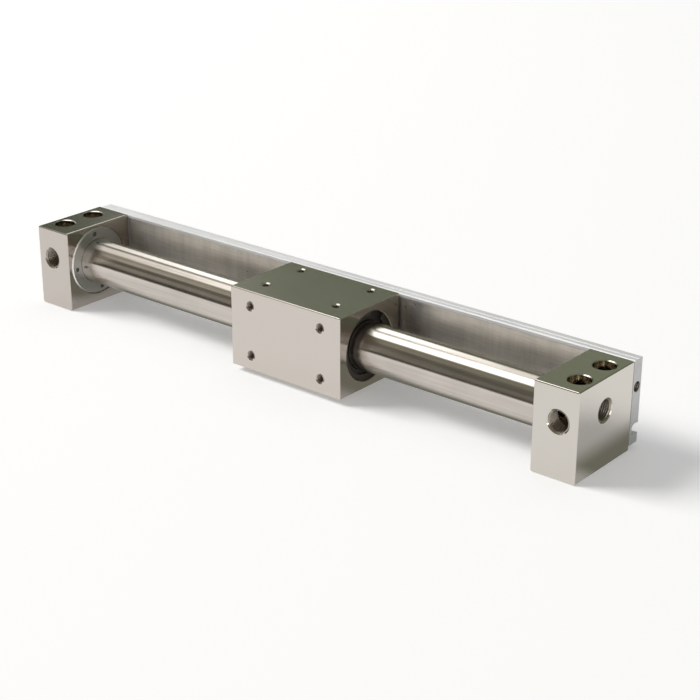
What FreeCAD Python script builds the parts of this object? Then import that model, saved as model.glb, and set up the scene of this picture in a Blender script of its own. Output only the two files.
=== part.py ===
# Magnetically coupled rodless pneumatic cylinder with a switch rail.
# A free piston slides inside a thin stainless tube. Ring magnets on the piston pull the slider
# along outside the tube, so no rod and no slot is needed.
# Frame, in millimetres: X runs along the tube, Y points from the front face to the rail, Z is up.
# The origin is the middle of the underside of the whole object's box.
import FreeCAD
import Part
import Sketcher
import math
import os
import re

DIMENSIONS = {
    # Travel. The slider stands slider_offset to the right of the middle of its stroke.
    "stroke": 200.0,
    "slider_offset": 6.2,
    "end_margin": 1.75,
    # End blocks.
    "block_width": 20.5,
    "block_depth": 40.0,
    "block_height": 39.0,
    "block_edge_radius": 0.6,
    "axis_setback": 19.0,
    "axis_height": 21.0,
    # Tube and what holds it in the end blocks.
    "tube_bore": 20.0,
    "tube_wall": 0.8,
    "tube_engagement": 6.0,
    "seat_bore": 13.4,
    "seat_depth": 4.0,
    "clip_width": 1.0,
    "clip_groove": 0.3,
    "clip_thickness": 1.6,
    "clip_gap_angle": 40.0,
    "collar_diameter": 33.4,
    "collar_length": 3.8,
    "collar_clearance": 0.1,
    "collar_chamfer": 0.7,
    "collar_relief": 0.3,
    "collar_relief_depth": 0.8,
    "spanner_hole": 2.2,
    "spanner_hole_depth": 2.5,
    "spanner_circle": 27.4,
    "spanner_turn": 6.0,
    "gasket_section": 1.8,
    "bumper_thickness": 3.0,
    "bumper_clearance": 0.2,
    "bumper_gap": 0.25,
    # Ports, 1/8 inch pipe thread, drawn at the thread's outer diameter.
    "port_diameter": 9.73,
    "port_chamfer": 0.45,
    "front_port_depth": 7.5,
    "front_port_inset": 8.85,
    "front_port_height": 24.5,
    "side_port_depth": 7.5,
    "side_port_setback": 19.6,
    "side_port_height": 24.9,
    "front_passage": 3.0,
    "side_passage": 5.0,
    # Mounting holes through the end blocks.
    "mount_hole": 5.5,
    "mount_counterbore": 9.6,
    "mount_counterbore_depth": 5.4,
    "mount_inset": 7.0,
    "mount_spacing": 18.0,
    "mount_thread": 6.0,
    "mount_thread_depth": 10.0,
    "rim_width": 0.5,
    "rim_depth": 0.3,
    # Switch rail and its shield plate.
    "rail_thickness": 6.0,
    "rail_bottom": 2.0,
    "rail_left_inset": 1.5,
    "rail_edge_width": 0.6,
    "rail_edge_depth": 0.35,
    "rail_line_setback": 2.6,
    "rail_line_width": 0.7,
    "rail_line_depth": 0.25,
    "slot_floor": 4.1,
    "slot_depth": 4.7,
    "slot_mouth": 4.2,
    "slot_deep_height": 3.6,
    "slot_roof_radius": 3.6,
    "rail_port": 4.6,
    "rail_port_depth": 9.5,
    "rail_passage": 3.0,
    "rail_passage_height": 25.0,
    "plate_thickness": 1.0,
    "plate_bottom": 10.5,
    "plate_top_margin": 1.7,
    "plate_end_gap": 0.5,
    "plate_edge_gap": 0.1,
    # Rail screws, M3 socket head.
    "screw_diameter": 3.0,
    "screw_clearance": 0.2,
    "screw_head": 5.5,
    "screw_head_height": 3.0,
    "screw_head_clearance": 0.35,
    "screw_sink": 0.1,
    "screw_length": 8.0,
    "screw_tip_gap": 0.5,
    "screw_socket": 2.5,
    "screw_socket_depth": 1.4,
    "screw_end_distance": 12.0,
    "screw_low": 14.2,
    "screw_top_distance": 3.8,
    # Slider. Its front stands proud of the end blocks, and its back stays clear of the rail.
    "slider_length": 62.0,
    "slider_front_step": 1.0,
    "slider_back_gap": 1.0,
    "slider_height": 37.0,
    "slider_edge_radius": 0.45,
    "slider_bore": 31.0,
    "slider_bore_chamfer": 0.3,
    "tap_diameter": 4.0,
    "front_tap_depth": 5.5,
    "top_tap_depth": 4.4,
    "tap_spacing": 39.8,
    "front_tap_rows": 23.2,
    "top_tap_rows": 23.4,
    "top_tap_shift": 2.3,
    # What the slider holds in its bore, from the end face inwards.
    "retainer_inset": 1.8,
    "retainer_width": 1.2,
    "retainer_groove": 0.8,
    "retainer_groove_clearance": 0.1,
    "retainer_radial": 2.4,
    "retainer_gap_angle": 32.0,
    "retainer_turn": 28.0,
    "scraper_width": 2.8,
    "scraper_clearance": 0.3,
    "wear_width": 6.0,
    "wear_radial": 1.7,
    "running_clearance": 0.05,
    "felt_width": 2.0,
    "magnet_width": 5.0,
    "magnet_gap": 0.5,
    "switch_magnet_length": 10.0,
    "switch_magnet_height": 4.0,
    "switch_magnet_depth": 3.0,
    "switch_magnet_rise": 3.6,
    # Piston.
    "inner_magnet_gap": 0.4,
    "shaft_diameter": 7.0,
    "piston_edge_break": 0.4,
    "shaft_setback": 1.0,
    "piston_gap": 0.3,
    "nut_width": 10.0,
    "nut_height": 3.2,
    "nut_pocket": 12.6,
    "nut_pocket_depth": 5.0,
    "seal_width": 2.4,
    "seal_radial": 2.0,
    "seal_inset": 6.5,
    "guide_width": 5.0,
    "guide_radial": 1.2,
    "guide_inset": 10.5,
}
MAGNET_COUNT = 4
SIDES = {"left": -1, "right": 1}

# Radii and stations worked out from the dimensions. Stations along X are measured from the middle.
TUBE_RADIUS = "(tube_bore / 2 + tube_wall)"
INNER_FACE = "(stroke / 2 + slider_length / 2 + end_margin)"
OUTER_FACE = f"({INNER_FACE} + block_width)"
TUBE_END = f"({INNER_FACE} + tube_engagement)"
SLIDER_FRONT = "(axis_setback + slider_front_step)"
SLIDER_BACK = "(block_depth - axis_setback - slider_back_gap)"
BACK_REACH = "(block_depth - axis_setback + rail_thickness)"
AXIS_Y = f"(({SLIDER_FRONT} - {BACK_REACH}) / 2)"
BLOCK_FRONT = f"({AXIS_Y} - axis_setback)"
BLOCK_BACK = f"({BLOCK_FRONT} + block_depth)"
AXIS_Z = "axis_height"
SLIDER_X = "slider_offset"
CHAMBER_RADIUS = f"({TUBE_RADIUS} + gasket_section)"
CLIP_INNER = f"({TUBE_RADIUS} - clip_groove)"
CLIP_OUTER = f"({CLIP_INNER} + clip_thickness)"
SLIDER_END = "(slider_length / 2)"
RETAINER_START = f"({SLIDER_END} - retainer_inset - retainer_width)"
SCRAPER_START = f"({RETAINER_START} - scraper_width)"
WEAR_START = f"({SCRAPER_START} - wear_width)"
STACK_END = f"({WEAR_START} - felt_width)"
YOKE_WIDTH = f"((2 * {STACK_END} - {MAGNET_COUNT} * magnet_width) / {MAGNET_COUNT + 1})"
WEAR_OUTER = f"({TUBE_RADIUS} + running_clearance + wear_radial)"
BORE_RADIUS = "(slider_bore / 2)"
MAGNET_INNER = f"({TUBE_RADIUS} + magnet_gap)"
PISTON_RADIUS = "(tube_bore / 2 - piston_gap)"
PISTON_END = f"({TUBE_END} - bumper_thickness - bumper_gap - stroke / 2)"
RING_RADIUS = "(tube_bore / 2 - running_clearance)"
RAIL_HEIGHT = "(block_height - rail_bottom)"
PLATE_HEIGHT = f"({RAIL_HEIGHT} - plate_bottom - plate_top_margin)"
SCREW_HEIGHTS = ["screw_low", "(block_height - screw_top_distance)"]
# How deep a rail screw reaches into the block, from the block's back face.
SCREW_GRIP = "(screw_length + screw_head_height + screw_sink - rail_thickness)"
SCREW_STATIONS = [f"{sign} * ({OUTER_FACE} - screw_end_distance)" for sign in SIDES.values()]

document = FreeCAD.newDocument("RodlessCylinder")
sheet = document.addObject("Spreadsheet::Sheet", "Dimensions")
for row, (alias, number) in enumerate(DIMENSIONS.items(), start=1):
    sheet.set(f"A{row}", str(number))
    sheet.setAlias(f"A{row}", alias)
document.recompute()

parts = []


def bound(text):
    """Return the text with each dimension's name turned into its cell."""
    def cell(match):
        word = match.group()
        return f"Dimensions.{word}" if word in DIMENSIONS else word
    return re.sub(r"[a-z][a-z_]+", cell, text)


def value(text):
    """Return the number that a text of dimensions gives now."""
    return float(sheet.evalExpression(bound(text)))


def bind(item, name, text):
    """Tie one property of an object to the sheet."""
    item.setExpression(name, bound(text))


def place(item, x="0", y="0", z="0"):
    """Put an object at a place that follows the sheet."""
    for axis, text in zip("xyz", (x, y, z)):
        bind(item, f".Placement.Base.{axis}", text)


def new_body(label, x="0", y=AXIS_Y, z=AXIS_Z):
    """Start one sub-part, with its own origin on the tube's axis unless told otherwise."""
    body = document.addObject("PartDesign::Body", label)
    body.Label = label
    place(body, x, y, z)
    parts.append(body)
    return body


def new_sketch(body, plane, offset=("0", "0", "0")):
    """Start a sketch on one of the body's own planes, moved by the offset."""
    sketch = body.newObject("Sketcher::SketchObject", f"{body.Label}_sketch")
    support = next(item for item in body.Origin.OriginFeatures if item.Role == plane)
    sketch.AttachmentSupport = (support, [""])
    sketch.MapMode = "FlatFace"
    for axis, text in zip("xyz", offset):
        bind(sketch, f".AttachmentOffset.Base.{axis}", text)
    return sketch


def pin(sketch, geometry, vertex, corner):
    """Fix one vertex at two distances from the sketch's origin."""
    for kind, text in zip(("DistanceX", "DistanceY"), corner):
        rule = Sketcher.Constraint(kind, -1, 1, geometry, vertex, value(text))
        number = sketch.addConstraint(rule)
        bind(sketch, f"Constraints[{number}]", text)


def draw_outline(sketch, corners, first_arc_radius=None):
    """Draw a closed outline of straight lines. The first side may be an arc of a given radius."""
    points = [FreeCAD.Vector(value(x), value(y), 0) for x, y in corners]
    start = sketch.GeometryCount
    count = len(points)
    for index, point in enumerate(points):
        following = points[(index + 1) % count]
        if index == 0 and first_arc_radius is not None:
            sketch.addGeometry(arc_between(point, following, value(first_arc_radius)))
        else:
            sketch.addGeometry(Part.LineSegment(point, following))
    for index in range(count):
        line = start + index
        rule = Sketcher.Constraint("Coincident", line, 2, start + (index + 1) % count, 1)
        sketch.addConstraint(rule)
    for index, corner in enumerate(corners):
        pin(sketch, start + index, 1, corner)
    if first_arc_radius is not None:
        rule = Sketcher.Constraint("Radius", start, value(first_arc_radius))
        number = sketch.addConstraint(rule)
        bind(sketch, f"Constraints[{number}]", first_arc_radius)


def arc_between(start, end, radius):
    """Return the short arc of a radius that turns counterclockwise from start to end."""
    chord = end - start
    half = chord.Length / 2
    middle = (start + end) / 2
    normal = FreeCAD.Vector(-chord.y, chord.x, 0) / chord.Length
    centre = middle + normal * math.sqrt(radius * radius - half * half)
    angles = [math.atan2(point.y - centre.y, point.x - centre.x) for point in (start, end)]
    circle = Part.Circle(centre, FreeCAD.Vector(0, 0, 1), radius)
    return Part.ArcOfCircle(circle, angles[0], angles[1])


def draw_circle(sketch, radius, centre=("0", "0")):
    """Draw one circle."""
    point = FreeCAD.Vector(value(centre[0]), value(centre[1]), 0)
    circle = sketch.addGeometry(Part.Circle(point, FreeCAD.Vector(0, 0, 1), value(radius)))
    number = sketch.addConstraint(Sketcher.Constraint("Radius", circle, value(radius)))
    bind(sketch, f"Constraints[{number}]", radius)
    pin(sketch, circle, 3, centre)


def extrude(body, sketch, length, kind="PartDesign::Pad", backwards=False):
    """Pad a sketch, or pocket it, by a length."""
    feature = body.newObject(kind, f"{body.Label}_{kind[12:].lower()}")
    feature.Profile = sketch
    bind(feature, "Length", length)
    feature.Reversed = backwards
    return feature


def turn(body, sketch, axis, kind="PartDesign::Revolution", angle="360"):
    """Turn a sketch about one of its own axes, to add or to cut."""
    feature = body.newObject(kind, f"{body.Label}_{kind[12:].lower()}")
    feature.Profile = sketch
    feature.ReferenceAxis = (sketch, [axis])
    bind(feature, "Angle", angle)
    return feature


def drill(body, along, mouth, steps, into):
    """Cut a stepped round hole. steps are its depths and radii, and into is +1 or -1 along its axis."""
    across = {"X": "H_Axis", "Y": "V_Axis", "Z": "V_Axis"}[along]
    x, y, z = mouth
    if along == "Z":
        sketch = new_sketch(body, "XZ_Plane", (x, z, f"-({y})"))
    else:
        sketch = new_sketch(body, "XY_Plane", (x, y, z))
    corners = [(f"{into} * ({depth})", radius) for depth, radius in steps]
    corners = [(corners[0][0], "0")] + corners + [(corners[-1][0], "0")]
    if along != "X":
        corners = [(radius, depth) for depth, radius in corners]
    draw_outline(sketch, corners)
    return turn(body, sketch, across, "PartDesign::Groove")


def box_solid(body, length, left, right, bottom, top, backwards=False, both_ways=False):
    """Pad a rectangle in the body's YZ plane along X."""
    sketch = new_sketch(body, "YZ_Plane")
    draw_outline(sketch, [(left, bottom), (right, bottom), (right, top), (left, top)])
    solid = extrude(body, sketch, length, backwards=backwards)
    solid.Midplane = both_ways
    document.recompute()
    return solid


def round_edges(body, solid, radius):
    """Round all edges of a solid."""
    names = [f"Edge{number}" for number in range(1, len(solid.Shape.Edges) + 1)]
    fillet = body.newObject("PartDesign::Fillet", f"{body.Label}_fillet")
    fillet.Base = (solid, names)
    bind(fillet, "Radius", radius)


def ring(label, centre_x, start, end, inner, outer, opening=None, rolled="0", chamfer="0"):
    """Turn one ring about the tube's axis, between two stations from centre_x.
    opening is the angle left out of an open ring, whose middle is rolled degrees from the top."""
    body = new_body(label, centre_x)
    sketch = new_sketch(body, "XY_Plane")
    corners = [(start, inner), (end, inner)]
    if chamfer == "0":
        corners += [(end, outer), (start, outer)]
    else:
        sense = "1" if value(end) > value(start) else "-1"
        corners += [(end, f"{outer} - {chamfer}"), (f"{end} - {sense} * {chamfer}", outer)]
        corners += [(start, outer)]
    draw_outline(sketch, corners)
    if opening is None:
        turn(body, sketch, "H_Axis")
    else:
        turn(body, sketch, "H_Axis", angle=f"360 - {opening}")
        body.Placement.Rotation = FreeCAD.Rotation(FreeCAD.Vector(1, 0, 0), 90)
        bind(body, ".Placement.Rotation.Angle", f"90 - {rolled} + {opening} / 2")
    return body


def end_block(side, sign):
    """One end block. Its own origin is on the tube's axis at its inner face."""
    body = new_body(f"{side}_end_block", f"{sign} * {INNER_FACE}")
    front = "-axis_setback"
    block = box_solid(body, "block_width", front, "block_depth - axis_setback", "-axis_height",
                      "block_height - axis_height", backwards=sign < 0)
    round_edges(body, block, "block_edge_radius")
    drill(body, "X", ("0", "0", "0"), [
        ("0", "collar_diameter / 2 + collar_relief"),
        ("collar_relief_depth", "collar_diameter / 2 + collar_relief"),
        ("collar_relief_depth", "collar_diameter / 2"),
        ("collar_length", "collar_diameter / 2"),
        ("collar_length", CHAMBER_RADIUS),
        ("tube_engagement", CHAMBER_RADIUS),
        ("tube_engagement", "seat_bore / 2"),
        ("tube_engagement + seat_depth", "seat_bore / 2"),
    ], sign)
    front_port_x = f"{sign} * (block_width - front_port_inset)"
    port_z = "front_port_height - axis_height"
    port_mouth = [("0", "port_diameter / 2 + port_chamfer"), ("port_chamfer", "port_diameter / 2")]
    drill(body, "Y", (front_port_x, front, port_z),
          port_mouth + [("front_port_depth", "port_diameter / 2")], 1)
    passage_x = f"{sign} * (tube_engagement + seat_depth - front_passage / 2)"
    drill(body, "Y", (passage_x, front, port_z),
          [("front_port_depth", "front_passage / 2"), ("axis_setback", "front_passage / 2")], 1)
    side_y = "side_port_setback - axis_setback"
    side_mouth = (f"{sign} * block_width", side_y, "side_port_height - axis_height")
    drill(body, "X", side_mouth, port_mouth + [
        ("side_port_depth", "port_diameter / 2"),
        ("side_port_depth", "side_passage / 2"),
        ("block_width - tube_engagement - seat_depth / 2", "side_passage / 2"),
    ], -sign)
    for row in (-1, 1):
        hole_x = f"{sign} * (block_width - mount_inset)"
        hole_y = f"block_depth / 2 - axis_setback + {row} * mount_spacing / 2"
        drill(body, "Z", (hole_x, hole_y, "block_height - axis_height"), [
            ("0", "mount_counterbore / 2 + rim_width"),
            ("rim_depth", "mount_counterbore / 2"),
            ("mount_counterbore_depth", "mount_counterbore / 2"),
            ("mount_counterbore_depth", "mount_hole / 2"),
            ("block_height - mount_thread_depth", "mount_hole / 2"),
            ("block_height - mount_thread_depth", "mount_thread / 2"),
            ("block_height", "mount_thread / 2"),
        ], -1)
    for height in SCREW_HEIGHTS:
        screw_x = f"{sign} * (block_width - screw_end_distance)"
        drill(body, "Y", (screw_x, "block_depth - axis_setback", f"{height} - axis_height"), [
            ("0", "screw_diameter / 2"),
            (f"{SCREW_GRIP} + screw_tip_gap", "screw_diameter / 2"),
        ], -1)


def cylinder_tube():
    """Thin tube with a groove near each end for its clip."""
    body = new_body("cylinder_tube")
    sketch = new_sketch(body, "XY_Plane")
    groove_end = f"({INNER_FACE} + collar_length)"
    groove_start = f"({groove_end} - clip_width)"
    outline = [(f"-{TUBE_END}", "tube_bore / 2"), (TUBE_END, "tube_bore / 2"), (TUBE_END, TUBE_RADIUS)]
    outline += [(groove_end, TUBE_RADIUS), (groove_end, CLIP_INNER)]
    outline += [(groove_start, CLIP_INNER), (groove_start, TUBE_RADIUS)]
    outline += [(f"-{groove_start}", TUBE_RADIUS), (f"-{groove_start}", CLIP_INNER)]
    outline += [(f"-{groove_end}", CLIP_INNER), (f"-{groove_end}", TUBE_RADIUS)]
    outline += [(f"-{TUBE_END}", TUBE_RADIUS)]
    draw_outline(sketch, outline)
    turn(body, sketch, "H_Axis")


def attachment_ring(side, sign):
    """Collar that screws into the block and pulls the tube in by its clip. Four holes take a spanner."""
    body = new_body(f"{side}_attachment_ring", f"{sign} * {INNER_FACE}")
    sketch = new_sketch(body, "XY_Plane")
    inner = f"{TUBE_RADIUS} + collar_clearance"
    recess = f"{CLIP_OUTER} + collar_clearance"
    outer = "collar_diameter / 2"
    draw_outline(sketch, [
        ("0", inner),
        (f"{sign} * (collar_length - clip_width)", inner),
        (f"{sign} * (collar_length - clip_width)", recess),
        (f"{sign} * collar_length", recess),
        (f"{sign} * collar_length", outer),
        (f"{sign} * collar_chamfer", outer),
        ("0", f"{outer} - collar_chamfer"),
    ])
    turn(body, sketch, "H_Axis")
    for quarter in range(4):
        angle = f"(spanner_turn + 90 * {quarter}) * 1deg"
        centre_y = f"-spanner_circle / 2 * sin({angle})"
        centre_z = f"spanner_circle / 2 * cos({angle})"
        drill(body, "X", ("0", centre_y, centre_z), [
            ("0", "spanner_hole / 2"),
            ("spanner_hole_depth", "spanner_hole / 2"),
        ], sign)


def tube_fittings(side, sign):
    """Clip, gasket and bumper at one end of the tube."""
    face = f"{sign} * {INNER_FACE}"
    ring(f"{side}_tube_clip", face, f"{sign} * (collar_length - clip_width)", f"{sign} * collar_length",
         CLIP_INNER, CLIP_OUTER, opening="clip_gap_angle")
    gasket = new_body(f"{side}_tube_gasket", face)
    sketch = new_sketch(gasket, "XY_Plane")
    middle = f"{sign} * (collar_length + tube_engagement) / 2"
    draw_circle(sketch, "gasket_section / 2", (middle, f"{TUBE_RADIUS} + gasket_section / 2"))
    turn(gasket, sketch, "H_Axis")
    ring(f"{side}_bumper", face, f"{sign} * tube_engagement",
         f"{sign} * (tube_engagement - bumper_thickness)", "seat_bore / 2",
         "tube_bore / 2 - bumper_clearance", chamfer="bumper_clearance")


def switch_rail():
    """Extruded rail on the back of the end blocks, with a groove for switches and an air passage.
    A fine line runs along its top."""
    length = f"(2 * {OUTER_FACE} - rail_left_inset)"
    body = new_body("switch_rail", f"-{OUTER_FACE} + rail_left_inset", BLOCK_BACK, "rail_bottom")
    sketch = new_sketch(body, "YZ_Plane")
    deep = "rail_thickness - slot_depth"
    plate_low = "plate_bottom - plate_edge_gap"
    plate_high = f"plate_bottom + {PLATE_HEIGHT} + plate_edge_gap"
    draw_outline(sketch, [
        ("rail_thickness", "slot_floor + slot_mouth"),
        (deep, "slot_floor + slot_deep_height"),
        (deep, "slot_floor"),
        ("rail_thickness", "slot_floor"),
        ("rail_thickness", "0"),
        ("0", "0"),
        ("0", f"{RAIL_HEIGHT} - rail_edge_depth"),
        ("rail_edge_width", RAIL_HEIGHT),
        ("rail_line_setback", RAIL_HEIGHT),
        ("rail_line_setback + rail_line_width / 2", f"{RAIL_HEIGHT} - rail_line_depth"),
        ("rail_line_setback + rail_line_width", RAIL_HEIGHT),
        ("rail_thickness", RAIL_HEIGHT),
    ], first_arc_radius="slot_roof_radius")
    extrude(body, sketch, length)
    recess = new_sketch(body, "XZ_Plane")
    recess_start = "block_width - rail_left_inset"
    recess_end = f"{recess_start} + 2 * {INNER_FACE}"
    draw_outline(recess, [(recess_start, plate_low), (recess_end, plate_low),
                          (recess_end, plate_high), (recess_start, plate_high)])
    extrude(body, recess, "plate_thickness", "PartDesign::Pocket")
    drill(body, "X", ("0", "rail_thickness / 2", "rail_passage_height"), [
        ("0", "rail_port / 2"),
        ("rail_port_depth", "rail_port / 2"),
        ("rail_port_depth", "rail_passage / 2"),
        (f"{length} - rail_port_depth", "rail_passage / 2"),
        (f"{length} - rail_port_depth", "rail_port / 2"),
        (length, "rail_port / 2"),
    ], 1)
    for screw_x in SCREW_STATIONS:
        for height in SCREW_HEIGHTS:
            place_x = f"{screw_x} + {OUTER_FACE} - rail_left_inset"
            head = "screw_head / 2 + screw_head_clearance"
            shank = "screw_diameter / 2 + screw_clearance"
            seat = "screw_head_height + screw_sink"
            drill(body, "Y", (place_x, "rail_thickness", f"{height} - rail_bottom"),
                  [("0", head), (seat, head), (seat, shank), ("rail_thickness", shank)], -1)


def shield_plate():
    """Steel strip that lies in the front of the rail between the end blocks."""
    half = f"({INNER_FACE} - plate_end_gap)"
    body = new_body("shield_plate", f"-{half}", BLOCK_BACK, "rail_bottom + plate_bottom")
    sketch = new_sketch(body, "YZ_Plane")
    draw_outline(sketch, [("0", "0"), ("plate_thickness", "0"),
                          ("plate_thickness", PLATE_HEIGHT), ("0", PLATE_HEIGHT)])
    extrude(body, sketch, f"2 * {half}")


def rail_screw(name, screw_x, height):
    """One socket head cap screw, with its head at the back of the rail."""
    back = f"{BLOCK_BACK} + rail_thickness - screw_sink"
    pieces = []
    for suffix, radius, start, length in (
            ("head", "screw_head / 2", back, "screw_head_height"),
            ("shank", "screw_diameter / 2", f"{back} - screw_head_height", "screw_length")):
        cylinder = document.addObject("Part::Cylinder", f"{name}_{suffix}")
        bind(cylinder, "Radius", radius)
        bind(cylinder, "Height", length)
        cylinder.Placement.Rotation = FreeCAD.Rotation(FreeCAD.Vector(1, 0, 0), 90)
        place(cylinder, screw_x, start, height)
        pieces.append(cylinder)
    solid = document.addObject("Part::Fuse", f"{name}_solid")
    solid.Base, solid.Tool = pieces
    socket = document.addObject("Part::Prism", f"{name}_socket")
    socket.Polygon = 6
    bind(socket, "Circumradius", "screw_socket / sqrt(3)")
    bind(socket, "Height", "2 * screw_socket_depth")
    socket.Placement.Rotation = FreeCAD.Rotation(FreeCAD.Vector(1, 0, 0), 90)
    place(socket, screw_x, f"{back} + screw_socket_depth", height)
    screw = document.addObject("Part::Cut", name)
    screw.Base = solid
    screw.Tool = socket
    return screw


def rail_screws():
    """The four rail screws as one group of separate solids."""
    screws = []
    for screw_x in SCREW_STATIONS:
        for height in SCREW_HEIGHTS:
            screws.append(rail_screw(f"rail_screw_{len(screws) + 1}", screw_x, height))
    group = document.addObject("Part::Compound", "rail_screws")
    group.Label = "rail_screws"
    group.Links = screws
    parts.append(group)


def slider_body():
    """Slider block with its bore, ring grooves, tapped holes and switch magnet pocket."""
    body = new_body("slider_body", SLIDER_X)
    half_height = "slider_height / 2"
    block = box_solid(body, "slider_length", f"-{SLIDER_FRONT}", SLIDER_BACK, f"-{half_height}",
                      half_height, both_ways=True)
    round_edges(body, block, "slider_edge_radius")
    groove = f"{BORE_RADIUS} + retainer_groove"
    groove_start = "retainer_inset - retainer_groove_clearance"
    groove_end = "retainer_inset + retainer_width"
    for sign in SIDES.values():
        drill(body, "X", (f"{sign} * {SLIDER_END}", "0", "0"), [
            ("0", f"{BORE_RADIUS} + slider_bore_chamfer"),
            ("slider_bore_chamfer", BORE_RADIUS),
            (groove_start, BORE_RADIUS),
            (groove_start, groove),
            (groove_end, groove),
            (groove_end, BORE_RADIUS),
            (SLIDER_END, BORE_RADIUS),
        ], -sign)
    mouth = [("0", "tap_diameter / 2 + rim_width"), ("rim_depth", "tap_diameter / 2")]
    front_tap = [*mouth, ("front_tap_depth", "tap_diameter / 2")]
    top_tap = [*mouth, ("top_tap_depth", "tap_diameter / 2")]
    for column in (-1, 1):
        for row in (-1, 1):
            hole_x = f"{column} * tap_spacing / 2"
            front_z = f"{row} * front_tap_rows / 2"
            top_y = f"top_tap_shift + {row} * top_tap_rows / 2"
            drill(body, "Y", (hole_x, f"-{SLIDER_FRONT}", front_z), front_tap, 1)
            drill(body, "Z", (hole_x, top_y, half_height), top_tap, -1)
    pocket = new_sketch(body, "XZ_Plane", ("0", "0", f"-{SLIDER_BACK}"))
    draw_rectangle_about(pocket, "switch_magnet_length", f"-{half_height} + switch_magnet_rise",
                         "switch_magnet_height")
    extrude(body, pocket, "switch_magnet_depth", "PartDesign::Pocket", backwards=True)


def draw_rectangle_about(sketch, width, bottom, height):
    """Draw a rectangle centred on the sketch's vertical axis."""
    draw_outline(sketch, [(f"-{width} / 2", bottom), (f"{width} / 2", bottom),
                          (f"{width} / 2", f"{bottom} + {height}"),
                          (f"-{width} / 2", f"{bottom} + {height}")])


def switch_magnet():
    """Bar magnet in the back of the slider, which works the switches in the rail's groove."""
    body = new_body("switch_magnet", SLIDER_X)
    sketch = new_sketch(body, "XZ_Plane", ("0", "0", f"-{SLIDER_BACK}"))
    draw_rectangle_about(sketch, "switch_magnet_length", "-slider_height / 2 + switch_magnet_rise",
                         "switch_magnet_height")
    extrude(body, sketch, "switch_magnet_depth")


def slider_end_parts(side, sign):
    """Retaining ring, scraper, wear ring, spacer and felt at one end of the slider's bore."""
    retainer_outer = f"{BORE_RADIUS} + retainer_groove - retainer_groove_clearance"
    ring(f"{side}_slider_retaining_ring", SLIDER_X, f"{sign} * {RETAINER_START}",
         f"{sign} * ({RETAINER_START} + retainer_width)", f"{BORE_RADIUS} - retainer_radial",
         retainer_outer, opening="retainer_gap_angle", rolled="retainer_turn")
    ring(f"{side}_scraper", SLIDER_X, f"{sign} * {SCRAPER_START}", f"{sign} * {RETAINER_START}",
         f"{TUBE_RADIUS} + scraper_clearance", BORE_RADIUS)
    ring(f"{side}_wear_ring", SLIDER_X, f"{sign} * {WEAR_START}", f"{sign} * {SCRAPER_START}",
         f"{TUBE_RADIUS} + running_clearance", WEAR_OUTER)
    ring(f"{side}_wear_spacer", SLIDER_X, f"{sign} * {WEAR_START}", f"{sign} * {SCRAPER_START}",
         WEAR_OUTER, BORE_RADIUS)
    ring(f"{side}_felt_retainer", SLIDER_X, f"{sign} * {STACK_END}", f"{sign} * {WEAR_START}",
         f"{TUBE_RADIUS} + scraper_clearance", BORE_RADIUS)


def magnet_stack(place_name, centre_x, inner, outer):
    """Magnets and yokes in turn along the axis, with a yoke at each end."""
    pitch = f"(magnet_width + {YOKE_WIDTH})"
    for index in range(MAGNET_COUNT + 1):
        start = f"-{STACK_END} + {index} * {pitch}"
        ring(f"{place_name}_yoke_{index + 1}", centre_x, start, f"{start} + {YOKE_WIDTH}", inner, outer)
        if index < MAGNET_COUNT:
            magnet_start = f"{start} + {YOKE_WIDTH}"
            ring(f"{place_name}_magnet_{index + 1}", centre_x, magnet_start,
                 f"{magnet_start} + magnet_width", inner, outer)


def piston_shaft():
    """Shaft that carries the inner magnets and both pistons."""
    body = new_body("piston_shaft", SLIDER_X)
    sketch = new_sketch(body, "XY_Plane")
    half = f"({PISTON_END} - shaft_setback)"
    radius = "shaft_diameter / 2"
    edge = "piston_edge_break"
    draw_outline(sketch, [(f"-{half}", "0"), (half, "0"), (half, f"{radius} - {edge}"),
                          (f"{half} - {edge}", radius), (f"-{half} + {edge}", radius),
                          (f"-{half}", f"{radius} - {edge}")])
    turn(body, sketch, "H_Axis")


def piston_head(side, sign):
    """Piston with grooves for its seal and guide ring, and a pocket for its nut."""
    body = new_body(f"{side}_piston", SLIDER_X)
    sketch = new_sketch(body, "XY_Plane")
    seal_start = f"({PISTON_END} - seal_inset)"
    guide_start = f"({PISTON_END} - guide_inset - guide_width)"
    seal_floor = f"{RING_RADIUS} - seal_radial"
    guide_floor = f"{RING_RADIUS} - guide_radial"
    pocket_floor = f"{PISTON_END} - nut_pocket_depth"
    outline = [
        (STACK_END, "shaft_diameter / 2"),
        (pocket_floor, "shaft_diameter / 2"),
        (pocket_floor, "nut_pocket / 2"),
        (PISTON_END, "nut_pocket / 2"),
        (PISTON_END, f"{PISTON_RADIUS} - piston_edge_break"),
        (f"{PISTON_END} - piston_edge_break", PISTON_RADIUS),
        (f"{seal_start} + seal_width", PISTON_RADIUS),
        (f"{seal_start} + seal_width", seal_floor),
        (seal_start, seal_floor),
        (seal_start, PISTON_RADIUS),
        (f"{guide_start} + guide_width", PISTON_RADIUS),
        (f"{guide_start} + guide_width", guide_floor),
        (guide_start, guide_floor),
        (guide_start, PISTON_RADIUS),
        (STACK_END, PISTON_RADIUS),
    ]
    draw_outline(sketch, [(f"{sign} * ({x})", radius) for x, radius in outline])
    turn(body, sketch, "H_Axis")
    ring(f"{side}_piston_seal", SLIDER_X, f"{sign} * {seal_start}",
         f"{sign} * ({seal_start} + seal_width)", seal_floor, RING_RADIUS)
    ring(f"{side}_piston_wear_ring", SLIDER_X, f"{sign} * {guide_start}",
         f"{sign} * ({guide_start} + guide_width)", guide_floor, RING_RADIUS)
    piston_nut(side, sign)


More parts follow.
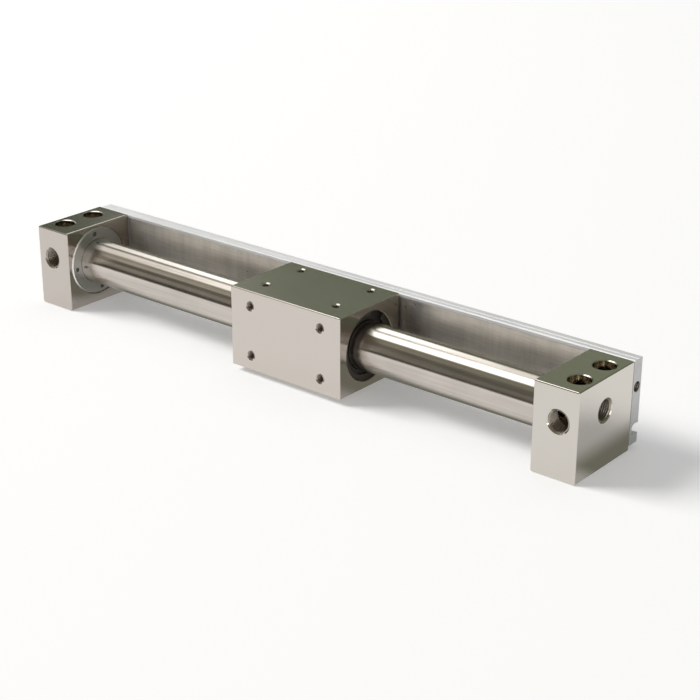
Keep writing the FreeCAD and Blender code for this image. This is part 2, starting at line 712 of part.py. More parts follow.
def piston_nut(side, sign):
    """Hexagon nut on the shaft in the piston's pocket."""
    floor = f"{sign} * ({PISTON_END} - nut_pocket_depth)"
    body = new_body(f"{side}_piston_nut", f"{SLIDER_X} + {floor}")
    sketch = new_sketch(body, "YZ_Plane")
    corners = []
    for corner in range(6):
        angle = f"({corner} * 60deg)"
        corners.append((f"nut_width / sqrt(3) * cos{angle}", f"nut_width / sqrt(3) * sin{angle}"))
    draw_outline(sketch, corners)
    draw_circle(sketch, "shaft_diameter / 2")
    extrude(body, sketch, "nut_height", backwards=sign < 0)


def check_and_write():
    """Stop if any object failed or a cut removed nothing, then write each sub-part."""
    document.recompute()
    for item in document.Objects:
        if "Invalid" in item.State or "Error" in item.State:
            raise RuntimeError(f"{item.Name} failed: {item.State}")
    for part in parts:
        for feature in getattr(part, "Group", []):
            if feature.TypeId in ("PartDesign::Groove", "PartDesign::Pocket"):
                removed = feature.BaseFeature.Shape.Volume - feature.Shape.Volume
                if removed <= 0:
                    raise RuntimeError(f"{feature.Name} cuts nothing")
        if part.Shape.isNull() or not part.Shape.isValid():
            raise RuntimeError(f"{part.Label} has no valid shape")
    os.makedirs("parts", exist_ok=True)
    for part in parts:
        part.Shape.exportStep(f"parts/{part.Label}.step")
    whole = Part.makeCompound([part.Shape for part in parts]).BoundBox
    print(f"{len(parts)} sub-parts, {whole.XLength:.2f} x {whole.YLength:.2f} x {whole.ZLength:.2f} mm,"
          f" X from {whole.XMin:.2f}, Y from {whole.YMin:.2f}, Z from {whole.ZMin:.2f}")


for side, sign in SIDES.items():
    end_block(side, sign)
    attachment_ring(side, sign)
    tube_fittings(side, sign)
    slider_end_parts(side, sign)
    piston_head(side, sign)
cylinder_tube()
switch_rail()
shield_plate()
rail_screws()
slider_body()
switch_magnet()
magnet_stack("outer", SLIDER_X, MAGNET_INNER, BORE_RADIUS)
piston_shaft()
magnet_stack("inner", SLIDER_X, "shaft_diameter / 2", "tube_bore / 2 - inner_magnet_gap")
check_and_write()
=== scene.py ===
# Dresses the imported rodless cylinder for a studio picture: finishes, threads, light and camera.
# Lengths named with mm are millimetres. Everything that reaches the scene is in metres.
import math

import bmesh
import bpy
from mathutils import Matrix, Vector


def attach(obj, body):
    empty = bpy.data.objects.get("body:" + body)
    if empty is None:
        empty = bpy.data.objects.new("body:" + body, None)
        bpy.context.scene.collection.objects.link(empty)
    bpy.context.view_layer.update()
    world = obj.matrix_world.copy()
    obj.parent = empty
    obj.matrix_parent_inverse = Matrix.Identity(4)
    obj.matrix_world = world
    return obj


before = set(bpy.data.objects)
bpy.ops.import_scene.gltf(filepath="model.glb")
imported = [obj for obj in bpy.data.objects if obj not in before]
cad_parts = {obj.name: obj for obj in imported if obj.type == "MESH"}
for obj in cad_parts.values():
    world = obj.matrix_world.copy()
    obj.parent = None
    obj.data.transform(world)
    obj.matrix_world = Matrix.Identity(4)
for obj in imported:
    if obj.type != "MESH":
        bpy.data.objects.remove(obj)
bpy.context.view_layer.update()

MM = 0.001
SCENE = bpy.context.scene
WHITE = (1.0, 1.0, 1.0)

# A camera fitted to the corners and hole centres that the photograph shows.
CAMERA_PLACE = (0.44574, -0.51176, 0.29306)
CAMERA_AZIMUTH = 39.534
CAMERA_ELEVATION = 22.784
CAMERA_ROLL = 0.128
CAMERA_LENS = 85.13
SENSOR_WIDTH = 36.0
CLIP_START = 0.01
CLIP_END = 50.0

# Places that repeat the CAD source, in millimetres.
AXIS_Y = -3.5
AXIS_Z = 21.0
BLOCK_FRONT = -22.5
BLOCK_END = 153.25
SLIDER_X = 6.2
SLIDER_FRONT = -23.5
SLIDER_TOP = 39.5
RAIL_LEFT = -151.75
RING_EDGE = 16.0
FRONT_PORT_X = 144.4
FRONT_PORT_Z = 24.5
END_PORT_Y = -2.9
END_PORT_Z = 24.9
MOUNT_X = 146.25
MOUNT_ROWS_Y = (-11.5, 6.5)
PASSAGE_Y = 20.5
PASSAGE_Z = 27.0
TAP_COLUMNS = (-19.9, 19.9)
FRONT_TAP_ROWS = (-11.6, 11.6)
TOP_TAP_ROWS = (-11.7, 11.7)
TOP_TAPS_BACK = 2.3


def make_camera():
    """Put the fitted camera in the scene."""
    data = bpy.data.cameras.new("camera")
    data.lens = CAMERA_LENS
    data.sensor_width = SENSOR_WIDTH
    data.clip_start = CLIP_START
    data.clip_end = CLIP_END
    camera = bpy.data.objects.new("camera", data)
    turn = Matrix.Rotation(math.radians(CAMERA_AZIMUTH), 4, "Z")
    tilt = Matrix.Rotation(math.radians(90.0 - CAMERA_ELEVATION), 4, "X")
    roll = Matrix.Rotation(math.radians(CAMERA_ROLL), 4, "Z")
    camera.matrix_world = Matrix.Translation(CAMERA_PLACE) @ turn @ tilt @ roll
    SCENE.collection.objects.link(camera)
    SCENE.camera = camera


make_camera()


# Short ways to put shader nodes together
def add_node(tree, kind, **settings):
    """Add a node with its settings."""
    made = tree.nodes.new(kind)
    for key, value in settings.items():
        setattr(made, key, value)
    return made


def feed(tree, source, target):
    """Give an input what another node puts out, or else a number or a colour."""
    if isinstance(source, bpy.types.NodeSocket):
        tree.links.new(source, target)
    else:
        target.default_value = source


def opaque(colour):
    """Return the colour with full cover."""
    return (*colour, 1.0)


def combined(tree, operation, first, second):
    """Return two values joined by one step of arithmetic."""
    made = add_node(tree, "ShaderNodeMath", operation=operation)
    feed(tree, first, made.inputs[0])
    feed(tree, second, made.inputs[1])
    return made.outputs[0]


def mixed(tree, share, first, second, **settings):
    """Return two colours or two numbers mixed by a share."""
    mix = add_node(tree, "ShaderNodeMix", **settings)
    feed(tree, share, mix.inputs["Factor"])
    feed(tree, first, mix.inputs["A"])
    feed(tree, second, mix.inputs["B"])
    return mix.outputs["Result"]


def mixed_shaders(tree, share, first, second):
    """Return two shaders mixed by a share."""
    mix = add_node(tree, "ShaderNodeMixShader")
    for source, target in zip((share, first, second), mix.inputs):
        tree.links.new(source, target)
    return mix.outputs[0]


def soft_step(tree, value, start, end):
    """Return a smooth rise from 0 at the start to 1 at the end."""
    step = add_node(tree, "ShaderNodeMapRange", interpolation_type="SMOOTHSTEP")
    step.inputs["From Min"].default_value = start
    step.inputs["From Max"].default_value = end
    tree.links.new(value, step.inputs["Value"])
    return step.outputs["Result"]


def own_places(tree):
    """Return a piece's own coordinates, each under the name of its axis."""
    places = add_node(tree, "ShaderNodeTexCoord")
    split = add_node(tree, "ShaderNodeSeparateXYZ")
    tree.links.new(places.outputs["Object"], split.inputs[0])
    return split.outputs


def seen_directly(tree):
    """Return 1 for rays from the camera, a reflection or glass, and 0 for those of matte light."""
    path = add_node(tree, "ShaderNodeLightPath")
    seen = path.outputs["Is Camera Ray"]
    for kind in ("Is Glossy Ray", "Is Transmission Ray"):
        seen = combined(tree, "MAXIMUM", seen, path.outputs[kind])
    return seen


# The span of a noise that a finish uses, unless it names another.
NOISE_SPAN = (0.3, 0.7)
# How open a place is where it counts as wholly hollow, and where it no longer counts as hollow.
HOLLOW_SPAN = (0.25, 0.85)
HOLLOW_SAMPLES = 6


class Finish:
    """A node material around one Principled shader, put together step by step."""

    def __init__(self, name, colour, metallic, roughness):
        self.material = bpy.data.materials.new(name)
        self.material.use_nodes = True
        self.tree = self.material.node_tree
        self.shader = self.tree.nodes["Principled BSDF"]
        self.put("Metallic", metallic)
        self.put("Roughness", roughness)
        self.put("Base Color", opaque(colour))
        self.colour = colour
        self.roughness = roughness
        self.places = add_node(self.tree, "ShaderNodeTexCoord").outputs["Object"]
        self.normal = None

    def put(self, name, source):
        """Give one of the shader's inputs a value, or what another node puts out."""
        feed(self.tree, source, self.shader.inputs[name])

    def source(self, name):
        """Return what another node gives one of the shader's inputs so far."""
        return self.shader.inputs[name].links[0].from_socket

    def stretched(self, scale):
        """Return the object's own coordinates, scaled along each axis."""
        mapping = add_node(self.tree, "ShaderNodeMapping")
        mapping.inputs["Scale"].default_value = scale
        self.tree.links.new(self.places, mapping.inputs["Vector"])
        return mapping.outputs["Vector"]

    def noise(self, cells, detail=2.0, stretch=(1.0, 1.0, 1.0), roughness=0.5):
        """Return a noise with so many cells to the metre."""
        noise = add_node(self.tree, "ShaderNodeTexNoise")
        noise.inputs["Scale"].default_value = cells
        noise.inputs["Detail"].default_value = detail
        noise.inputs["Roughness"].default_value = roughness
        self.tree.links.new(self.stretched(stretch), noise.inputs["Vector"])
        return noise.outputs["Fac"]

    def blend(self, *parts):
        """Return a sum of noises, each at its own share."""
        (first, first_share), *others = parts
        whole = combined(self.tree, "MULTIPLY", first, first_share)
        for noise, share in others:
            whole = combined(self.tree, "ADD", whole, combined(self.tree, "MULTIPLY", noise, share))
        return whole

    def spread(self, value, span, result=(0.0, 1.0)):
        """Return the value moved from its span to that of the result, and held inside it."""
        ranged = add_node(self.tree, "ShaderNodeMapRange", clamp=True)
        self.tree.links.new(value, ranged.inputs["Value"])
        for key, number in zip(("From Min", "From Max", "To Min", "To Max"), (*span, *result)):
            ranged.inputs[key].default_value = number
        return ranged.outputs["Result"]

    def gloss(self, noise, change):
        """Vary the roughness up and down by the change."""
        both = (self.roughness - change, self.roughness + change)
        self.put("Roughness", self.spread(noise, NOISE_SPAN, both))

    def shade(self, noise, dark, light, span=NOISE_SPAN):
        """Colour the surface between a darker and a lighter share of its own colour."""
        share = self.spread(noise, span)
        ends = [opaque([part * end for part in self.colour]) for end in (dark, light)]
        self.put("Base Color", mixed(self.tree, share, *ends, data_type="RGBA"))

    def shade_and_roughen_hollows(self, reach_mm, shade_colour, roughness):
        """Paint shade into holes, darkening and tinting them by how enclosed they are, give them their
        own roughness, and return where they are.

        It goes on after shade() and gloss().
        """
        # Painted shade: ambient occlusion finds the holes, and there the colour is multiplied by the
        # shade colour.
        hollow = add_node(self.tree, "ShaderNodeAmbientOcclusion", samples=HOLLOW_SAMPLES,
                          only_local=True)
        hollow.inputs["Distance"].default_value = reach_mm * MM
        share = self.spread(hollow.outputs["AO"], HOLLOW_SPAN, (1.0, 0.0))
        self.put("Base Color", mixed(self.tree, share, self.source("Base Color"), opaque(shade_colour),
                                     data_type="RGBA", blend_type="MULTIPLY"))
        self.put("Roughness", mixed(self.tree, share, self.source("Roughness"), roughness,
                                    data_type="FLOAT"))
        return share

    def relief(self, height, depth_mm):
        """Lay a fine relief over the surface, on top of any that is there."""
        bump = add_node(self.tree, "ShaderNodeBump")
        bump.inputs["Distance"].default_value = depth_mm * MM
        self.tree.links.new(height, bump.inputs["Height"])
        if self.normal is not None:
            self.tree.links.new(self.normal, bump.inputs["Normal"])
        self.normal = bump.outputs["Normal"]
        self.put("Normal", self.normal)


# Finishes of the metal parts
NICKEL = (0.620, 0.572, 0.525)
# Painted shade: the brown colour multiplied into the nickel where it is enclosed in a hole.
NICKEL_HOLLOW_SHADE = (1.0, 0.88, 0.72)
# A painted highlight on the ring's outer edge: its colour, and how far inward it fades.
RING_EDGE_HIGHLIGHT = (0.93, 0.93, 0.91)
RING_EDGE_HIGHLIGHT_FADE_MM = 0.05


def nickel_plate(name, painted_light_share=WHITE):
    """Satin nickel with a fine even grain, faint clouds, and holes that are rougher and painted with a
    brown shade.

    A part's share of the nickel's red, green and blue paints that whole part lighter or darker, as
    painted light and shade.
    """
    colour = [part * share for part, share in zip(NICKEL, painted_light_share)]
    finish = Finish(name, colour, metallic=1.0, roughness=0.13)
    clouds = finish.noise(cells=28.0)
    grain = finish.noise(cells=4200.0)
    finish.gloss(clouds, change=0.012)
    finish.shade(clouds, dark=0.985, light=1.0)
    hollows = finish.shade_and_roughen_hollows(reach_mm=5.0, shade_colour=NICKEL_HOLLOW_SHADE, roughness=0.24)
    cutter_marks = finish.noise(cells=3000.0, stretch=(0.02, 0.02, 1.0))
    finish.relief(combined(finish.tree, "MULTIPLY", cutter_marks, hollows), depth_mm=0.03)
    finish.relief(grain, depth_mm=0.0006)
    return finish.material


def polished_stainless():
    """Tube polished round its girth, so that reflections blur along its length only."""
    finish = Finish("polished_stainless", (0.595, 0.550, 0.505), metallic=1.0, roughness=0.15)
    lines = finish.noise(cells=900.0, detail=3.0, stretch=(0.02, 1.0, 1.0))
    clouds = finish.noise(cells=60.0)
    finish.gloss(lines, change=0.015)
    finish.shade(finish.blend((lines, 0.6), (clouds, 0.4)), dark=0.84, light=1.03, span=(0.35, 0.65))
    finish.relief(lines, depth_mm=0.0012)
    finish.relief(finish.noise(cells=700.0, stretch=(1.0, 0.04, 0.04)), depth_mm=0.004)
    tangent = add_node(finish.tree, "ShaderNodeTangent", direction_type="RADIAL", axis="X")
    finish.put("Tangent", tangent.outputs["Tangent"])
    finish.put("Anisotropic", 1.0)
    finish.put("Anisotropic Rotation", 0.25)
    return finish.material


def clear_anodise():
    """Matte ring with a fine grain and a painted highlight on its outer edge."""
    finish = Finish("clear_anodise", (0.58, 0.58, 0.56), metallic=1.0, roughness=0.36)
    grain = finish.noise(cells=5200.0, detail=3.0)
    finish.gloss(grain, change=0.05)
    finish.shade(grain, dark=0.86, light=1.0)
    finish.relief(grain, depth_mm=0.003)
    # Painted highlight: the ring is painted pale beyond RING_EDGE from the tube's axis.
    from_axis = add_node(finish.tree, "ShaderNodeVectorMath", operation="DISTANCE")
    finish.tree.links.new(finish.stretched((0.0, 1.0, 1.0)), from_axis.inputs[0])
    from_axis.inputs[1].default_value = (0.0, AXIS_Y * MM, AXIS_Z * MM)
    highlight_span = ((RING_EDGE - RING_EDGE_HIGHLIGHT_FADE_MM) * MM, RING_EDGE * MM)
    edge = finish.spread(from_axis.outputs["Value"], highlight_span)
    finish.put("Base Color", mixed(finish.tree, edge, finish.source("Base Color"),
                                   opaque(RING_EDGE_HIGHLIGHT), data_type="RGBA"))
    return finish.material


def rail_aluminium():
    """Anodised extrusion: die lines along its length and faint cloudy patches."""
    finish = Finish("rail_aluminium", (0.91, 0.91, 0.915), metallic=0.16, roughness=0.34)
    lines = finish.noise(cells=1500.0, detail=4.0, stretch=(0.012, 1.0, 1.0), roughness=0.7)
    clouds = finish.noise(cells=45.0, detail=4.0, stretch=(0.35, 1.0, 1.0))
    finish.gloss(clouds, change=0.06)
    finish.shade(finish.blend((lines, 0.55), (clouds, 0.45)), dark=0.76, light=1.0, span=(0.36, 0.64))
    finish.relief(lines, depth_mm=0.009)
    return finish.material


def shield_steel():
    """Grey strip with cloudy stains, faint marks across it and scratches along it."""
    finish = Finish("shield_steel", (0.77, 0.738, 0.692), metallic=0.68, roughness=0.33)
    marks = finish.noise(cells=260.0, detail=4.0, stretch=(1.0, 1.0, 0.08), roughness=0.65)
    stains = finish.noise(cells=70.0, detail=5.0, stretch=(0.5, 1.0, 1.0), roughness=0.6)
    scratches = finish.noise(cells=1500.0, detail=5.0, stretch=(0.03, 1.0, 1.0), roughness=0.7)
    finish.gloss(stains, change=0.06)
    all_marks = finish.blend((marks, 0.3), (scratches, 0.3), (stains, 0.4))
    finish.shade(all_marks, dark=0.76, light=1.08, span=(0.40, 0.60))
    finish.relief(marks, depth_mm=0.004)
    return finish.material


def dark_steel(name, colour, roughness):
    """Dark or coated steel with a slight mottle."""
    finish = Finish(name, colour, metallic=1.0, roughness=roughness)
    mottle = finish.noise(cells=1600.0, detail=3.0)
    finish.gloss(mottle, change=0.08)
    finish.shade(mottle, dark=0.75, light=1.15)
    finish.relief(mottle, depth_mm=0.003)
    return finish.material


def turned(name, colour, roughness, painted_hollow_shade=None):
    """Turned metal, whose lines lie across the axis. If a share is given, shade is painted where it is
    hollow, darkening the colour to that share.
    """
    finish = Finish(name, colour, metallic=1.0, roughness=roughness)
    lines = finish.noise(cells=4000.0, stretch=(1.0, 0.05, 0.05))
    finish.gloss(lines, change=0.06)
    finish.shade(lines, dark=0.88, light=1.0)
    if painted_hollow_shade is not None:
        finish.shade_and_roughen_hollows(reach_mm=6.0, shade_colour=[painted_hollow_shade] * 3, roughness=roughness)
    finish.relief(lines, depth_mm=0.003)
    return finish.material


# Finishes of the soft parts
def rubber(name, colour):
    """Moulded rubber or soft plastic."""
    finish = Finish(name, colour, metallic=0.0, roughness=0.55)
    grain = finish.noise(cells=2600.0, detail=3.0)
    finish.gloss(grain, change=0.1)
    finish.shade(grain, dark=0.85, light=1.1)
    finish.relief(grain, depth_mm=0.006)
    return finish.material


def felt():
    """Felt with short fibres."""
    finish = Finish("felt", (0.62, 0.58, 0.50), metallic=0.0, roughness=0.95)
    fibres = finish.noise(cells=3000.0, detail=6.0, roughness=0.7)
    finish.shade(fibres, dark=0.7, light=1.05)
    finish.relief(fibres, depth_mm=0.05)
    finish.put("Sheen Weight", 0.3)
    return finish.material


FINISHES = {
    "nickel_plate": nickel_plate("satin_nickel"),
    "polished_stainless": polished_stainless(),
    "clear_anodise": clear_anodise(),
    "rail_aluminium": rail_aluminium(),
    "shield_steel": shield_steel(),
    "black_screw": dark_steel("black_oxide", (0.055, 0.055, 0.06), roughness=0.38),
    "spring_steel": dark_steel("spring_steel", (0.17, 0.155, 0.14), roughness=0.40),
    "seal_rubber": rubber("seal_rubber", (0.03, 0.03, 0.03)),
    "urethane": rubber("urethane", (0.55, 0.40, 0.19)),
    "scraper_resin": rubber("scraper_resin", (0.055, 0.05, 0.045)),
    "wear_resin": rubber("wear_resin", (0.35, 0.24, 0.16)),
    "turned_aluminium": turned("turned_aluminium", (0.80, 0.80, 0.79), roughness=0.30),
    "felt": felt(),
    "magnet": turned("magnet_plate", (0.66, 0.62, 0.57), roughness=0.25),
    "yoke_iron": dark_steel("yoke_iron", (0.36, 0.355, 0.35), roughness=0.45),
    "shaft_steel": turned("shaft_steel", (0.64, 0.60, 0.56), roughness=0.18),
}
# In the photograph the left block is a shade darker than the slider, and the right one greyer.
# Painted light and shade: the left block is painted darker and the right one lighter and greyer,
# standing in for light that falls unevenly along the length.
NODE_FINISHES = {
    "left_end_block": nickel_plate("left_block_nickel_painted_shade", painted_light_share=(0.90, 0.90, 0.90)),
    "right_end_block": nickel_plate("right_block_nickel_painted_light", painted_light_share=(1.035, 1.065, 1.065)),
}
# In the photograph the threads are darker than the faces round them.
# Painted shade: the threads are darkened to half their colour where they lie deep in a hole.
CUT_THREAD = turned("cut_thread", (0.42, 0.375, 0.315), roughness=0.26, painted_hollow_shade=0.50)


def dress_nodes():
    """Give every CAD node its own finish, or else that of its material slot."""
    for name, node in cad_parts.items():
        for slot in node.material_slots:
            shared = FINISHES[slot.material.name.split(".")[0]]
            slot.material = NODE_FINISHES.get(name, shared)


dress_nodes()

# Threads, in millimetres: the radius of the hole and of the crests, the pitch, and how far down
# the hole the thread starts and ends.
PORT = {"major": 4.865, "minor": 4.285, "pitch": 0.907, "start": 0.5, "end": 7.2, "segments": 64}
BASE = {"major": 3.0, "minor": 2.46, "pitch": 1.0, "start": 0.2, "end": 9.7, "segments": 40}
PASSAGE = {"major": 2.3, "minor": 2.02, "pitch": 0.8, "start": 0.2, "end": 9.0, "segments": 40}
TAP = {"major": 2.0, "minor": 1.62, "pitch": 0.7, "start": 0.35, "segments": 40}
FRONT_TAP_END = 5.3
TOP_TAP_END = 4.2
# How far a sleeve's outside and the bottom of its thread lie inside the wall of the hole.
SLEEVE_OUTSIDE = 0.02
SLEEVE_ROOT = 0.06
STEPS_PER_PITCH = 8
# How often a flank would rise to the full height over one pitch, and the share of the full height
# at which the crest is cut flat.
FLANK_SLOPE = 2.6
CREST_CUT = 0.85


def thread_sleeve(mesh, mouth, inward, major, minor, pitch, start, end, segments):
    """Add a closed sleeve with a screw thread on its inside. Lengths are in millimetres.

    The mouth is the middle of the hole's opening, and inward points down the hole.
    """
    inward = Vector(inward)
    side = inward.orthogonal().normalized()
    other = inward.cross(side)
    root = major - SLEEVE_ROOT
    outs = []
    for number in range(segments):
        angle = 2.0 * math.pi * number / segments
        outs.append(side * math.cos(angle) + other * math.sin(angle))

    def add_ring(depth, radii):
        middle = Vector(mouth) + inward * depth
        return [mesh.verts.new((middle + out * radius) * MM) for out, radius in zip(outs, radii)]

    rings = []
    steps = int((end - start) / pitch * STEPS_PER_PITCH) + 1
    for step in range(steps + 1):
        depth = start + (end - start) * step / steps
        radii = []
        for number in range(segments):
            phase = (depth / pitch - number / segments) % 1.0
            crest = min(max(1.0 - abs(phase - 0.5) * FLANK_SLOPE, 0.0), CREST_CUT) / CREST_CUT
            radii.append(root + (minor - root) * crest)
        rings.append(add_ring(depth, radii))
    for depth in (end, start):
        rings.append(add_ring(depth, [major - SLEEVE_OUTSIDE] * segments))
    for index, ring in enumerate(rings):
        following = rings[(index + 1) % len(rings)]
        for number in range(segments):
            after = (number + 1) % segments
            mesh.faces.new((ring[number], ring[after], following[after], following[number]))


def finish_mesh(mesh, name, body, material):
    """Turn the mesh into a smooth piece that rides on a body."""
    bmesh.ops.recalc_face_normals(mesh, faces=mesh.faces)
    data = bpy.data.meshes.new(name)
    mesh.to_mesh(data)
    mesh.free()
    data.shade_smooth()
    data.materials.append(material)
    piece = bpy.data.objects.new(name, data)
    SCENE.collection.objects.link(piece)
    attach(piece, body)


def make_threads():
    """Put screw threads into the ports, the taps, the mounting holes and the rail's ends."""
    ports = bmesh.new()
    base = bmesh.new()
    passage = bmesh.new()
    for sign in (-1, 1):
        thread_sleeve(ports, (sign * FRONT_PORT_X, BLOCK_FRONT, FRONT_PORT_Z), (0, 1, 0), **PORT)
        thread_sleeve(ports, (sign * BLOCK_END, END_PORT_Y, END_PORT_Z), (-sign, 0, 0), **PORT)
        for place_y in MOUNT_ROWS_Y:
            thread_sleeve(base, (sign * MOUNT_X, place_y, 0.0), (0, 0, 1), **BASE)
    for rail_end, inward in ((RAIL_LEFT, 1), (BLOCK_END, -1)):
        thread_sleeve(passage, (rail_end, PASSAGE_Y, PASSAGE_Z), (inward, 0, 0), **PASSAGE)
    finish_mesh(ports, "port_threads", "barrel", CUT_THREAD)
    finish_mesh(base, "base_hole_threads", "barrel", CUT_THREAD)
    finish_mesh(passage, "rail_end_threads", "barrel", CUT_THREAD)
    taps = bmesh.new()
    for column in TAP_COLUMNS:
        for row in FRONT_TAP_ROWS:
            mouth = (SLIDER_X + column, SLIDER_FRONT, AXIS_Z + row)
            thread_sleeve(taps, mouth, (0, 1, 0), end=FRONT_TAP_END, **TAP)
        for row in TOP_TAP_ROWS:
            mouth = (SLIDER_X + column, AXIS_Y + TOP_TAPS_BACK + row, SLIDER_TOP)
            thread_sleeve(taps, mouth, (0, 0, -1), end=TOP_TAP_END, **TAP)
    finish_mesh(taps, "slider_tap_threads", "carriage", CUT_THREAD)


make_threads()


def mark_stage(piece):
    SCENE.collection.objects.link(piece)
    return piece


def stage_plane(name, span_x, span_y, height):
    """Add a level plane to the stage."""
    left, right = span_x
    near, far = span_y
    corners = [(left, near, 0), (right, near, 0), (right, far, 0), (left, far, 0)]
    data = bpy.data.meshes.new(name)
    data.from_pydata(corners, [], [(0, 1, 2, 3)])
    plane = mark_stage(bpy.data.objects.new(name, data))
    plane.location.z = height
    return plane


def show_in_reflections_only(piece):
    """Hide a piece from all but reflections, so that it gives matte surfaces no direct light."""
    piece.visible_camera = False
    piece.visible_diffuse = False
    piece.visible_shadow = False
    piece.visible_transmission = False


def glow_material(name):
    """Return a material with no nodes yet, which isn't sampled as a lamp."""
    material = bpy.data.materials.new(name)
    material.use_nodes = True
    material.cycles.emission_sampling = "NONE"
    material.node_tree.nodes.clear()
    return material


def end_tree(tree, kind, surface):
    """Close a node tree with its output."""
    output = add_node(tree, kind)
    tree.links.new(surface, output.inputs["Surface"])


# The floor and the world
FLOOR_SPAN = (-3.0, 3.0)
FLOOR_HEIGHT = -0.00005
FLOOR_COLOUR = (0.88, 0.88, 0.88)
FLOOR_ROUGHNESS = 0.9
# A glow of the floor that gives matte surfaces no light.
FLOOR_LIFT = 0.24
AMBIENT_STRENGTH = 0.27
BACKGROUND_STRENGTH = 1.0


def make_floor():
    """A wide pale floor that keeps the object's shadow."""
    floor = stage_plane("floor", FLOOR_SPAN, FLOOR_SPAN, FLOOR_HEIGHT)
    material = bpy.data.materials.new("floor_white")
    material.use_nodes = True
    tree = material.node_tree
    shader = tree.nodes["Principled BSDF"]
    shader.inputs["Base Color"].default_value = opaque(FLOOR_COLOUR)
    shader.inputs["Roughness"].default_value = FLOOR_ROUGHNESS
    shader.inputs["Specular IOR Level"].default_value = 0.0
    shader.inputs["Emission Color"].default_value = opaque(WHITE)
    lift = combined(tree, "MULTIPLY", seen_directly(tree), FLOOR_LIFT)
    tree.links.new(lift, shader.inputs["Emission Strength"])
    floor.data.materials.append(material)


def make_world():
    """White where the camera or a reflection sees it, and a soft level light elsewhere."""
    world = bpy.data.worlds.new("studio")
    SCENE.world = world
    world.use_nodes = True
    tree = world.node_tree
    tree.nodes.clear()
    seen = seen_directly(tree)
    backgrounds = []
    for strength in (AMBIENT_STRENGTH, BACKGROUND_STRENGTH):
        background = add_node(tree, "ShaderNodeBackground")
        background.inputs["Color"].default_value = opaque(WHITE)
        background.inputs["Strength"].default_value = strength
        backgrounds.append(background.outputs[0])
    end_tree(tree, "ShaderNodeOutputWorld", mixed_shaders(tree, seen, *backgrounds))


# A painted shadow: a dark sheet under and beside the object that only reflections see
SHADOW_SHEET_COLOUR = (0.200, 0.200, 0.165)
SHADOW_SHEET_X = (-0.130, 0.171)
SHADOW_SHEET_Y = (-0.017, 0.070)
SHADOW_SHEET_HEIGHT = 0.0001
SHADOW_SHEET_FADE = 0.013


def make_shadow_sheet():
    """A painted shadow: a dark glowing sheet with soft edges that only reflections see, darkening the
    lower parts of faces that mirror the floor beside the object.
    """
    mat = stage_plane("mat", SHADOW_SHEET_X, SHADOW_SHEET_Y, SHADOW_SHEET_HEIGHT)
    show_in_reflections_only(mat)
    material = glow_material("painted_shadow_sheet")
    tree = material.node_tree
    places = own_places(tree)
    whole = None
    for axis, edges in (("X", SHADOW_SHEET_X), ("Y", SHADOW_SHEET_Y)):
        for edge, fade in zip(edges, (SHADOW_SHEET_FADE, -SHADOW_SHEET_FADE)):
            step = soft_step(tree, places[axis], edge, edge + fade)
            whole = step if whole is None else combined(tree, "MULTIPLY", whole, step)
    clear = add_node(tree, "ShaderNodeBsdfTransparent")
    glow = add_node(tree, "ShaderNodeEmission")
    glow.inputs["Color"].default_value = opaque(SHADOW_SHEET_COLOUR)
    surface = mixed_shaders(tree, whole, clear.outputs[0], glow.outputs[0])
    end_tree(tree, "ShaderNodeOutputMaterial", surface)
    mat.data.materials.append(material)


LAMP_AIM = (0.0, 0.0, 0.02)


def make_lamp(name, place, size, power, colour):
    """A soft box that lights the floor and matte parts, and that no reflection shows."""
    data = bpy.data.lights.new(name, "AREA")
    data.shape = "RECTANGLE"
    data.size, data.size_y = size
    data.energy = power
    data.color = colour
    lamp = bpy.data.objects.new(name, data)
    lamp.location = place
    lamp.rotation_euler = (Vector(LAMP_AIM) - Vector(place)).to_track_quat("-Z", "Y").to_euler()
    lamp.visible_camera = False
    lamp.visible_glossy = False
    SCENE.collection.objects.link(lamp)


# What the metal mirrors round the tube, as bands that each end at an angle in degrees, from the
# back horizon over the top to the front horizon. Cloth hangs at the back, two long soft boxes are
# overhead, and a dim room with a grey screen is in front. The sets follow each other from left to
# right: past the boxes, their weaker half, their strong half, where the first box fades, a brown
# room, and a box beside the camera.
CLOTH = (0.175, 0.200, 0.145)
PALE_CLOTH = (0.225, 0.245, 0.180)
DEEP_CLOTH = (0.105, 0.120, 0.085)
BOX = (3.0, 3.0, 2.95)
DIM_BOX = (2.3, 2.3, 2.25)
BOX_RIM = (0.60, 0.58, 0.50)
SEAM = (0.50, 0.50, 0.47)
DUSK = (0.16, 0.155, 0.13)
SCREEN = (0.27, 0.265, 0.205)
LOW_SCREEN = (0.27, 0.26, 0.225)
SKIRTING = (0.085, 0.08, 0.068)
DARK_SKIRTING = (0.06, 0.055, 0.05)
FLOOR_EDGE = (0.42, 0.40, 0.38)
BROWN_ROOM = (0.20, 0.17, 0.14)
ROOM_FLOOR = (0.30, 0.28, 0.25)
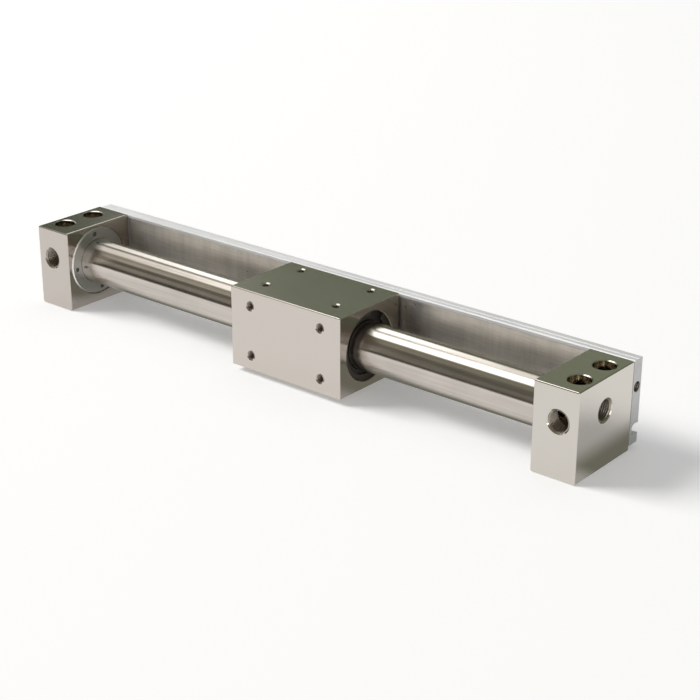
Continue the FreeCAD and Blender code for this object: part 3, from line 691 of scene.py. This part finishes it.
TENT_SETS = (
    [(70, DEEP_CLOTH), (97, (0.85, 0.82, 0.76)), (111, (0.40, 0.38, 0.32)), (127, (0.50, 0.47, 0.40)),
     (143, DUSK), (157, (0.36, 0.33, 0.28)), (163, LOW_SCREEN), (177, DARK_SKIRTING),
     (180, FLOOR_EDGE)],
    [(32, CLOTH), (60, DIM_BOX), (69, (0.40, 0.38, 0.34)), (97, (1.00, 0.96, 0.89)),
     (111, (0.39, 0.37, 0.31)), (127, (0.62, 0.59, 0.51)), (143, (0.17, 0.16, 0.13)),
     (157, (0.38, 0.35, 0.30)), (163, LOW_SCREEN), (177, DARK_SKIRTING), (180, FLOOR_EDGE)],
    [(38, CLOTH), (66, BOX), (78, SEAM), (104, BOX), (108, BOX_RIM), (130, SCREEN), (153, DUSK),
     (168, LOW_SCREEN), (177, SKIRTING), (180, FLOOR_EDGE)],
    [(40, PALE_CLOTH), (47, (0.35, 0.34, 0.32)), (64, (0.95, 0.92, 0.88)), (73, (0.80, 0.78, 0.75)),
     (104, BOX), (109, BOX_RIM), (126, SCREEN), (160, DUSK), (169, (0.21, 0.20, 0.17)),
     (177, SKIRTING), (180, FLOOR_EDGE)],
    [(100, CLOTH), (150, BROWN_ROOM), (180, ROOM_FLOOR)],
    [(100, CLOTH), (124, BROWN_ROOM), (172, BOX), (180, ROOM_FLOOR)],
)
# Where along X each set gives way to the next, in metres.
TENT_FADES = ((-1.72, -1.62), (-1.40, -1.18), (-0.97, -0.85), (-0.50, -0.15), (1.84, 1.92))
# How many degrees one band takes to pass into the next, and how many the whole tent spans.
TENT_EDGE = 2.4
TENT_ARC = 180.0
# The ramps hold the bands' colours as shares of this, and the glow brings them back to it.
TENT_STRONGEST = 3.0
TENT_RADIUS = 1.6
TENT_REACH = (-3.4, 3.2)
TENT_FACETS = 96


def tent_ramp(tree, share, bands):
    """Return the tent's colour along its arc, with a soft step between bands."""
    ramp = add_node(tree, "ShaderNodeValToRGB")
    elements = ramp.color_ramp.elements
    while len(elements) > 1:
        elements.remove(elements[-1])
    start = 0.0
    fresh = elements[0]
    for end, colour in bands:
        for degrees in (start + TENT_EDGE / 2, end - TENT_EDGE / 2):
            element = fresh or elements.new(degrees / TENT_ARC)
            element.position = degrees / TENT_ARC
            element.color = opaque([part / TENT_STRONGEST for part in colour])
            fresh = None
        start = end
    tree.links.new(share, ramp.inputs["Fac"])
    return ramp.outputs["Color"]


def make_tent():
    """A half tube of cloth and soft boxes that only reflections see."""
    mesh = bmesh.new()
    columns = []
    for number in range(TENT_FACETS + 1):
        angle = math.pi * number / TENT_FACETS
        columns.append([mesh.verts.new((x, TENT_RADIUS * math.cos(angle), TENT_RADIUS * math.sin(angle)))
                        for x in TENT_REACH])
    for left, right in zip(columns, columns[1:]):
        mesh.faces.new((left[0], left[1], right[1], right[0]))
    data = bpy.data.meshes.new("tent")
    mesh.to_mesh(data)
    mesh.free()
    tent = mark_stage(bpy.data.objects.new("tent", data))
    tent.location = (0.0, AXIS_Y * MM, AXIS_Z * MM)
    show_in_reflections_only(tent)
    material = glow_material("tent_light")
    tree = material.node_tree
    places = own_places(tree)
    angle = combined(tree, "ARCTAN2", places["Z"], places["Y"])
    share = combined(tree, "DIVIDE", angle, math.pi)
    looks = [tent_ramp(tree, share, bands) for bands in TENT_SETS]
    whole = looks[0]
    for following, (start, end) in zip(looks[1:], TENT_FADES):
        fade = soft_step(tree, places["X"], start, end)
        whole = mixed(tree, fade, whole, following, data_type="RGBA")
    glow = add_node(tree, "ShaderNodeEmission")
    tree.links.new(whole, glow.inputs["Color"])
    glow.inputs["Strength"].default_value = TENT_STRONGEST
    end_tree(tree, "ShaderNodeOutputMaterial", glow.outputs[0])
    data.materials.append(material)


make_floor()
make_shadow_sheet()
make_world()
make_lamp("front_box", (-5.20, -2.40, 5.00), size=(3.6, 3.4), power=490.0, colour=(1.0, 0.99, 0.97))
make_lamp("overhead_box", (-0.4, 0.8, 2.8), size=(2.8, 2.4), power=5.0, colour=WHITE)
make_tent()

SCENE.view_settings.view_transform = "Standard"
